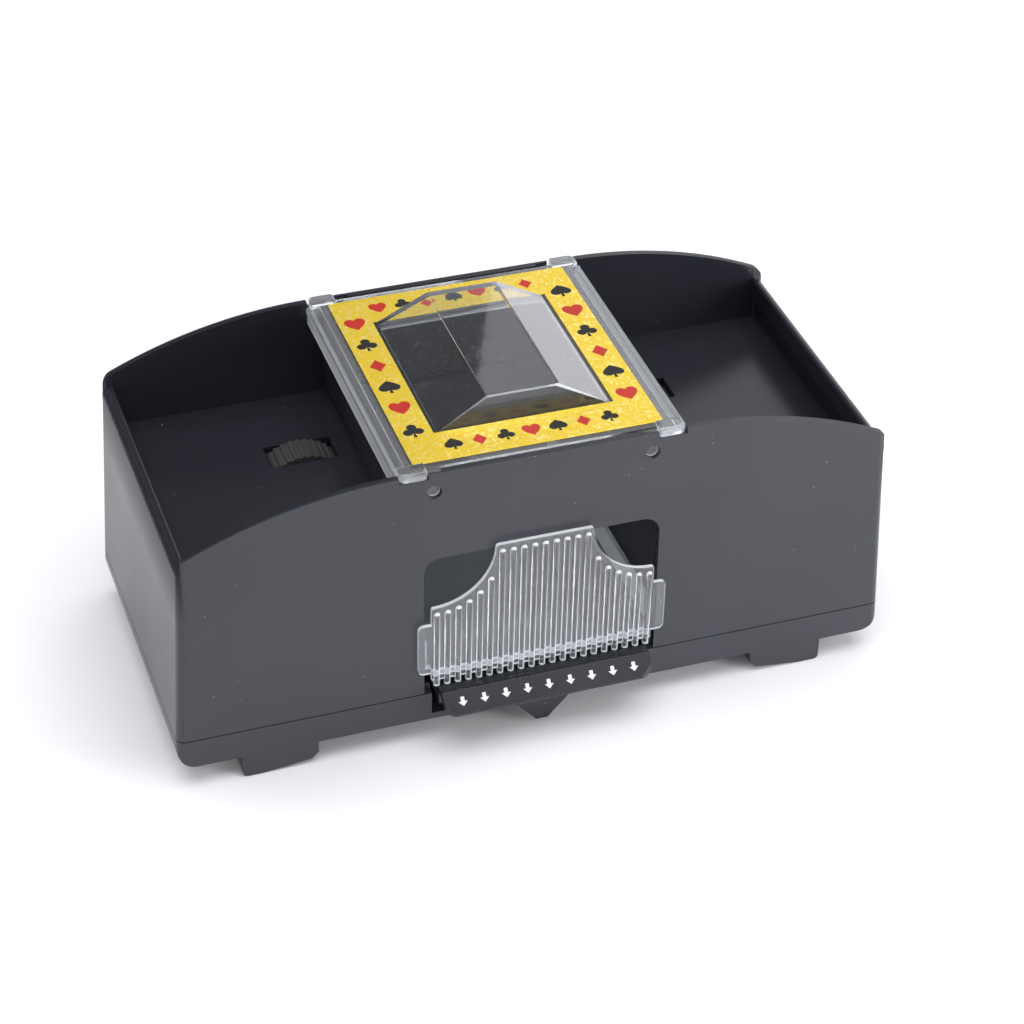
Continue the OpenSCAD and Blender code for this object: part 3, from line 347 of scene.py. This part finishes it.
# Front 3 mm of the card tray, where its upward faces get a painted highlight
TRAY_RIM_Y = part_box("card_tray")[0].y / MM + 3
CASE_BLACK = (0.021, 0.0225, 0.030)
LOOKS = {
    "case_black": black_plastic("case_black", CASE_BLACK, 0.30, skin_and_painted_shade=True),
    "cover_black": black_plastic("cover_black", CASE_BLACK, 0.30),
    "inner_black": black_plastic("inner_black", (0.02, 0.02, 0.022), 0.35, dust=0.05),
    "lever_black": black_plastic("lever_black", (0.010, 0.011, 0.014), 0.28, dust=0.3),
    "lid_clear": clear_plastic("lid_clear", 0.015, 0.99, (0.5, 0.85, 0.6), border=(36.2, 42.2)),
    "tray_clear": clear_plastic("tray_clear", 0.03, 0.97, (0.46, 0.7, 0.65), rim_y=TRAY_RIM_Y),
    "label_foil": foil("label_foil"),
    "steel": metal("steel", (0.66, 0.67, 0.69), 0.28),
    "motor_steel": metal("motor_steel", (0.6, 0.61, 0.63), 0.33, brush=(1, 0.1, 1)),
    "contact_nickel": metal("contact_nickel", (0.72, 0.72, 0.70), 0.22),
    "contact_brass": metal("contact_brass", (0.78, 0.58, 0.26), 0.28),
    "pinion_brass": metal("pinion_brass", (0.82, 0.64, 0.28), 0.25),
    "nylon": moulded("nylon", (0.82, 0.80, 0.74), 0.42, sss=0.15),
    "tyre_rubber": moulded("tyre_rubber", (0.035, 0.034, 0.033), 0.7, 0.5, 0.6),
    "cell_wrap": moulded("cell_wrap", (0.05, 0.16, 0.07), 0.28, 1.0, 0.05),
    "wire_red": moulded("wire_red", (0.55, 0.03, 0.03), 0.45, 0.6, 0.1),
    "wire_black": moulded("wire_black", (0.02, 0.02, 0.02), 0.45, 0.6, 0.1),
    "wire_blue": moulded("wire_blue", (0.03, 0.08, 0.35), 0.45, 0.6, 0.1),
}

slot_of = {s["node"]: s["material_slot"] for s in frame["record"]["subparts"]}

# Widths of the rounded edges in mm
BEVEL = {"upper_housing": 0.22, "bottom_cover": 0.22, "press_lever": 0.3, "lid": 0.18, "card_tray": 0.1}
SMALL_BEVEL = 0.12
WELD_MM = 0.002

for name, obj in frame["nodes"].items():
    for s in obj.material_slots:
        s.material = LOOKS[slot_of[name]]
    weld = obj.modifiers.new("weld", "WELD")
    weld.merge_threshold = WELD_MM * MM
    bev = obj.modifiers.new("bevel", "BEVEL")
    bev.width = BEVEL.get(name, SMALL_BEVEL) * MM
    bev.segments = 2
    bev.limit_method = "ANGLE"
    bev.angle_limit = math.radians(32)
    bev.harden_normals = True
    bev.use_clamp_overlap = True
    if name in ("upper_housing", "bottom_cover"):
        even = obj.modifiers.new("even", "WEIGHTED_NORMAL")
        even.keep_sharp = True


# The leaf under the press lever, riveted at its root, is copied into a piece of its own in place of the CAD
# one
leaf = bpy.data.objects.new("leaf_spring", frame["nodes"]["switch_leaf"].data.copy())
scene.collection.objects.link(leaf)
leaf.data.materials.clear()
leaf.data.materials.append(LOOKS[slot_of["switch_leaf"]])
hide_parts("switch_leaf")
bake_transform(leaf)


# ------------------------------------------------------------------ print

# The suits are shapes about 1 across round (0, 0), each given by a test for a point inside it


def reach(inside, n=120):
    """Outline of a shape that every ray from (0, 0) leaves once."""
    step = 0.01
    halvings = 12
    out = []
    for i in range(n):
        a = 2 * math.pi * i / n
        c, s = math.cos(a), math.sin(a)
        r = 2 * step
        while inside(r * c, r * s):
            r += step
        lo, hi = r - step, r
        for _ in range(halvings):
            mid = (lo + hi) / 2
            lo, hi = (mid, hi) if inside(mid * c, mid * s) else (lo, mid)
        out.append((lo * c, lo * s))
    return out


def heart_in(x, y):
    """Two lobes over a curved point."""
    x = abs(x)
    if math.hypot(x - 0.235, y - 0.20) < 0.262:
        return True
    t = (y + 0.5) / 0.68
    return 0 <= t <= 1 and x < 0.497 * math.sin(math.pi / 2 * t) ** 1.08 and y < 0.2


def stem_in(x, y):
    """Flared foot of the spade and the club."""
    return -0.5 < y < 0 and abs(x) < 0.035 + 0.15 * max(0.0, (-y - 0.12) / 0.38) ** 2.2


def spade_in(x, y):
    """A heart upside down on a stem."""
    return heart_in(x, -(y - 0.08) * 1.18) or stem_in(x, y)


def club_in(x, y):
    """Three discs round a smaller one, on a stem."""
    discs = ((0, 0.27, 0.225), (-0.25, -0.08, 0.225), (0.25, -0.08, 0.225), (0, 0.0, 0.16))
    return any(math.hypot(x - a, y - b) < r for a, b, r in discs) or stem_in(x, y)


def diamond_in(x, y):
    """A diamond with slightly hollow sides."""
    return (abs(x) / 0.40) ** 0.93 + (abs(y) / 0.5) ** 0.93 < 1


SUITS = {"heart": heart_in, "spade": spade_in, "club": club_in, "diamond": diamond_in}
OUTLINES = {k: reach(f) for k, f in SUITS.items()}


def print_piece(name, bm, material, body):
    """Make a piece of the finished print in bm."""
    mesh = bpy.data.meshes.new(name)
    bm.to_mesh(mesh)
    bm.free()
    mesh.materials.append(material)
    obj = bpy.data.objects.new(name, mesh)
    scene.collection.objects.link(obj)
    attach(obj, body)


def flat_print(name, shapes, z, thick, material, body):
    """Thin raised print on a level face: shapes are (outline, x, y, size) in millimetres."""
    bm = bmesh.new()
    for outline, x, y, size in shapes:
        ring = [bm.verts.new(((x + px * size) * MM, (y + py * size) * MM, z * MM)) for px, py in outline]
        top = [bm.verts.new((v.co.x, v.co.y, (z + thick) * MM)) for v in ring]
        under = bm.verts.new((x * MM, y * MM, z * MM))
        over = bm.verts.new((x * MM, y * MM, (z + thick) * MM))
        n = len(ring)
        for i in range(n):
            k = (i + 1) % n
            bm.faces.new((over, top[i], top[k]))
            bm.faces.new((under, ring[k], ring[i]))
            bm.faces.new((ring[i], ring[k], top[k], top[i]))
    print_piece(name, bm, material, body)


label_low, label_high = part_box("lid_label")
label_z = label_high.z / MM
label_y = (label_low.y + label_high.y) / 2 / MM

# Columns left and right of the dome, from front to back, in mm from the middle of the label
LEFT = ["club", "heart", "spade", "diamond", "club", "heart"]
RIGHT = ["heart", "spade", "diamond", "club", "heart", "spade"]
COLUMN_X = 31.2
COLUMN_Y = [-26.6, -15.0, -4.2, 6.9, 18.0, 29.3]
COLUMN_SIZE = 6.2

# Rows in front of the dome and behind it
FRONT_ROW = ("spade", "diamond", "club", "heart")
BACK_ROW = ("heart", "club", "diamond", "spade")
FRONT_Y, BACK_Y = -35.5, 36.0
ROW_X = [-22.5 + 7.5 * i for i in range(7)]
ROW_SIZE = 5.2
INK_MM = 0.03

red, black = [], []


def add_suit(kind, x, y, size):
    ink = red if kind in ("heart", "diamond") else black
    ink.append((OUTLINES[kind], x, label_y + y, size))


for y, left, right in zip(COLUMN_Y, LEFT, RIGHT):
    add_suit(left, -COLUMN_X, y, COLUMN_SIZE)
    add_suit(right, COLUMN_X, y, COLUMN_SIZE)
for i, x in enumerate(ROW_X):
    add_suit(FRONT_ROW[i % 4], x, FRONT_Y, ROW_SIZE)
    add_suit(BACK_ROW[i % 4], x, BACK_Y, ROW_SIZE)

ink_red = moulded("ink_red", (0.50, 0.022, 0.012), 0.35, 0.5, 0.1)
ink_black = moulded("ink_black", (0.008, 0.008, 0.008), 0.5, 0.5, 0.1)
ink_white = moulded("ink_white", (0.75, 0.76, 0.8), 0.5, 0.5, 0.1)
flat_print("label_suits_red", red, label_z, INK_MM, ink_red, "lid_body")
flat_print("label_suits_black", black, label_z, INK_MM, ink_black, "lid_body")


def sloped_print(name, shapes, low, high, thick, material, body):
    """Thin raised print on a slope between points low and high in the YZ plane, in metres.

    Shapes are (outline, x, size) in millimetres."""
    along = (high - low).normalized()
    out = Vector((0, along.y, along.z)).cross(Vector((1, 0, 0)))
    if out.z < 0:
        out = -out
    middle = (low + high) / 2
    bm = bmesh.new()
    for outline, x, size in shapes:
        lower = [bm.verts.new(middle + Vector(((x + px * size) * MM, 0, 0)) + along * (py * size * MM))
                 for px, py in outline]
        upper = [bm.verts.new(v.co + out * thick * MM) for v in lower]
        n = len(outline)
        bm.faces.new(upper)
        bm.faces.new(lower[::-1])
        for i in range(n):
            bm.faces.new((lower[i], lower[(i + 1) % n], upper[(i + 1) % n], upper[i]))
    bmesh.ops.triangulate(bm, faces=[f for f in bm.faces if len(f.verts) > 4])
    bmesh.ops.recalc_face_normals(bm, faces=bm.faces)
    print_piece(name, bm, material, body)


# Arrows that point down the slope of the press lever; its face runs from FACE_LOW to FACE_HIGH
ARROW = [(0, -0.5), (0.5, 0.0), (0.2, 0.0), (0.2, 0.5), (-0.2, 0.5), (-0.2, 0.0), (-0.5, 0.0)]
ARROW_PITCH = 6.4
ARROW_SIZE = 2.7
lever_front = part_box("press_lever")[0].y
FACE_LOW = Vector((0, lever_front, 15.9 * MM))
FACE_HIGH = Vector((0, lever_front + 5 * MM, 20.6 * MM))
sloped_print("lever_arrows", [(ARROW, ARROW_PITCH * i, ARROW_SIZE) for i in range(-4, 5)],
             FACE_LOW, FACE_HIGH, 0.04, ink_white, "lever_body")


# ------------------------------------------------------------------ floor and light

floor_mesh = bpy.data.meshes.new("floor")
bm = bmesh.new()
bmesh.ops.create_grid(bm, x_segments=1, y_segments=1, size=6)
bm.to_mesh(floor_mesh)
bm.free()
floor = bpy.data.objects.new("floor", floor_mesh)
floor.location.z = -0.2 * MM
scene.collection.objects.link(floor)
paper = Mat("paper", (0.93, 0.93, 0.93), 0.9)
floor_mesh.materials.append(paper.mat)


def studio_world():
    """A light tent: bright in front, fair along the horizon, dim above and behind on the left."""
    world = bpy.data.worlds.new("studio")
    world.use_nodes = True
    tree = world.node_tree

    def calc(op, a, b):
        n = tree.nodes.new("ShaderNodeMath")
        n.operation = op
        for i, v in enumerate((a, b)):
            if isinstance(v, (int, float)):
                n.inputs[i].default_value = v
            else:
                tree.links.new(v, n.inputs[i])
        return n.outputs[0]

    def fade(value, start, end):
        """0 before start, 1 after end."""
        r = tree.nodes.new("ShaderNodeMapRange")
        r.interpolation_type = "SMOOTHSTEP"
        r.inputs["From Min"].default_value, r.inputs["From Max"].default_value = start, end
        tree.links.new(value, r.inputs["Value"])
        return r.outputs["Result"]

    coord = tree.nodes.new("ShaderNodeTexCoord")
    xyz = tree.nodes.new("ShaderNodeSeparateXYZ")
    tree.links.new(coord.outputs["Generated"], xyz.inputs["Vector"])
    front = fade(xyz.outputs["Y"], 0.35, -0.55)
    horizon = fade(xyz.outputs["Z"], 0.38, 0.08)
    right = fade(xyz.outputs["X"], -0.2, 0.6)
    glow = calc("ADD", calc("MULTIPLY", front, 0.45),
                calc("MULTIPLY", horizon, calc("ADD", calc("MULTIPLY", right, 0.35), 0.2)))
    glow = calc("ADD", glow, calc("ADD", calc("MULTIPLY", right, 0.08), 0.1))
    shade = tree.nodes["Background"]
    shade.inputs["Color"].default_value = (0.95, 0.96, 1, 1)
    tree.links.new(glow, shade.inputs["Strength"])
    scene.world = world


studio_world()

LAMP_AIM = Vector((0, 0, 0.05))


def area(name, place, size, power, mirrored=True):
    """Soft lamp aimed at the object; with mirrored False it lights but shows in no reflection."""
    lamp = bpy.data.lights.new(name, "AREA")
    lamp.shape = "RECTANGLE"
    lamp.size, lamp.size_y = size
    lamp.energy = power
    lamp.color = (0.97, 0.975, 1)
    o = bpy.data.objects.new(name, lamp)
    o.location = place
    o.rotation_mode = "QUATERNION"
    o.rotation_quaternion = (Vector(place) - LAMP_AIM).to_track_quat("Z", "Y")
    o.visible_camera = False
    o.visible_glossy = mirrored
    scene.collection.objects.link(o)


area("key", (0.0, -0.1, 1.55), (1.7, 1.6), 24)
area("back", (0.8, 1.1, 0.8), (0.8, 0.7), 1.6)
area("right", (0.42, -0.42, 0.16), (0.25, 0.25), 2.2)
area("left", (-0.75, 0.5, 0.35), (0.6, 0.4), 3, mirrored=False)

scene.view_settings.view_transform = "Standard"
